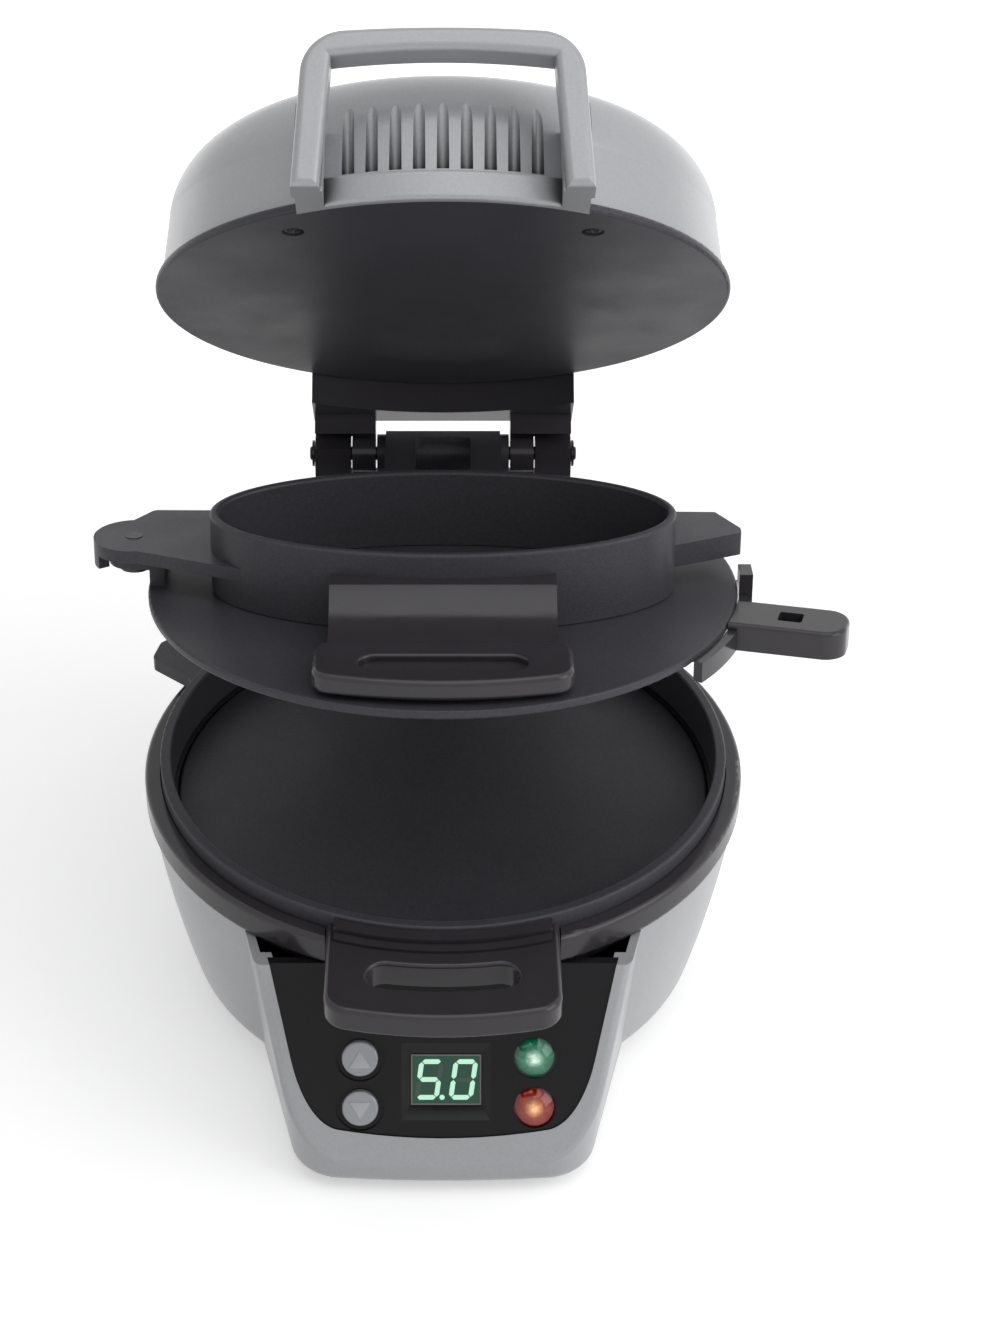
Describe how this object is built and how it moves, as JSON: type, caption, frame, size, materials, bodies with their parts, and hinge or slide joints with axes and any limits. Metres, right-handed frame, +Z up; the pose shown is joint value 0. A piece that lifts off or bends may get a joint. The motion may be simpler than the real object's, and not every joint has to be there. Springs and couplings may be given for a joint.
{
  "type": "breakfast sandwich maker",
  "caption": "Countertop breakfast sandwich maker: griddle bowl with sloped control panel, lift-out ring, oval egg ring with swing-out plate, and heated lid on a floating rear hinge.",
  "frame": {"origin": "on the table, under the middle of the whole footprint; the round body's axis stands 7.8 mm to its left and 0.9 mm in front of it", "axes": "+Z up, -Y to the front with the control panel and handles, +Y to the hinge, +X to the right seen from the front"},
  "size_m": [0.2508, 0.2768, 0.3534],
  "materials": {
    "silver_paint": "satin metallic silver",
    "silver_handle": "satin silver",
    "black_plastic": "satin gloss",
    "pan_black": "matt moulded",
    "nonstick": "satin non-stick coating",
    "steel": "satin",
    "reflector_sheet": "mill",
    "rubber": "matt",
    "circuit_board": "satin",
    "component_black": "matt",
    "ceramic_white": "matt",
    "button_grey": "satin",
    "display_green": "gloss",
    "lens_green": "gloss",
    "lens_red": "gloss",
    "led_clear": "gloss"
  },
  "bodies": {
    "base": {"base_shell": "silver_paint", "base_rim": "black_plastic", "base_pan": "pan_black", "pan_screws": "steel", "rubber_feet": "rubber", "lower_heating_plate": "nonstick", "lower_reflector": "reflector_sheet", "lower_plate_screws": "steel", "lower_heating_element": "steel", "lower_thermostat": "ceramic_white", "lower_thermal_fuse": "ceramic_white", "power_board": "circuit_board", "power_board_screws": "steel", "cord_bush": "rubber", "control_panel": "black_plastic", "display_window": "display_green", "display_module": "component_black", "control_board": "circuit_board", "board_screws": "steel", "tact_switches": "component_black", "indicator_leds": "led_clear", "green_lens": "lens_green", "red_lens": "lens_red", "hinge_tower": "black_plastic", "tower_stop_pin": "steel", "tower_screws": "steel"},
    "hinge_yoke": {"hinge_yoke": "black_plastic", "hinge_rod": "steel", "rod_clips": "steel"},
    "egg_ring": {"egg_ring": "nonstick", "egg_ring_handle": "black_plastic", "egg_handle_screws": "steel", "plate_pivot_pin": "steel"},
    "cooking_plate": {"cooking_plate": "nonstick", "plate_handle": "black_plastic", "plate_handle_screw": "steel"},
    "lower_ring": {"lower_ring": "nonstick", "lower_ring_handle": "black_plastic", "ring_handle_screws": "steel"},
    "lid": {"upper_heating_plate": "nonstick", "lid_frame": "black_plastic", "lid_shell": "silver_paint", "lid_handle": "silver_handle", "upper_reflector": "reflector_sheet", "upper_heating_element": "steel", "upper_plate_screws": "steel", "lid_screws": "steel", "lid_handle_screws": "steel", "upper_reflector_screws": "steel", "upper_thermostat": "ceramic_white", "upper_thermal_fuse": "ceramic_white"},
    "up_button": {"up_button": "button_grey"},
    "down_button": {"down_button": "button_grey"}
  },
  "joints": [
    {"name": "yoke_lift", "type": "slide", "parent": "base", "child": "hinge_yoke", "axis": [0, 0, 1], "range_m": [-0.046, 0]},
    {"name": "egg_ring_hinge", "type": "hinge", "parent": "hinge_yoke", "child": "egg_ring", "pos_m": [-0.0078, 0.1056, 0.146], "axis": [-1, 0, 0], "range_deg": [-10, 20]},
    {"name": "lid_hinge", "type": "hinge", "parent": "egg_ring", "child": "lid", "pos_m": [-0.0078, 0.1056, 0.146], "axis": [-1, 0, 0], "range_deg": [-37, 35]},
    {"name": "plate_swing", "type": "hinge", "parent": "egg_ring", "child": "cooking_plate", "pos_m": [-0.1118, 0.00623, 0.16697], "axis": [0, -0.1736, -0.9848], "range_deg": [0, 78]},
    {"name": "lower_ring_lift", "type": "slide", "parent": "base", "child": "lower_ring", "axis": [0, 0, 1], "range_m": [0, 0.03]},
    {"name": "up_button_press", "type": "slide", "parent": "base", "child": "up_button", "axis": [0, 0.8944, -0.4472], "range_m": [0, 0.0008], "stiffness_N_per_m": 400, "springref_m": -0.001},
    {"name": "down_button_press", "type": "slide", "parent": "base", "child": "down_button", "axis": [0, 0.8944, -0.4472], "range_m": [0, 0.0008], "stiffness_N_per_m": 400, "springref_m": -0.001}
  ]
}
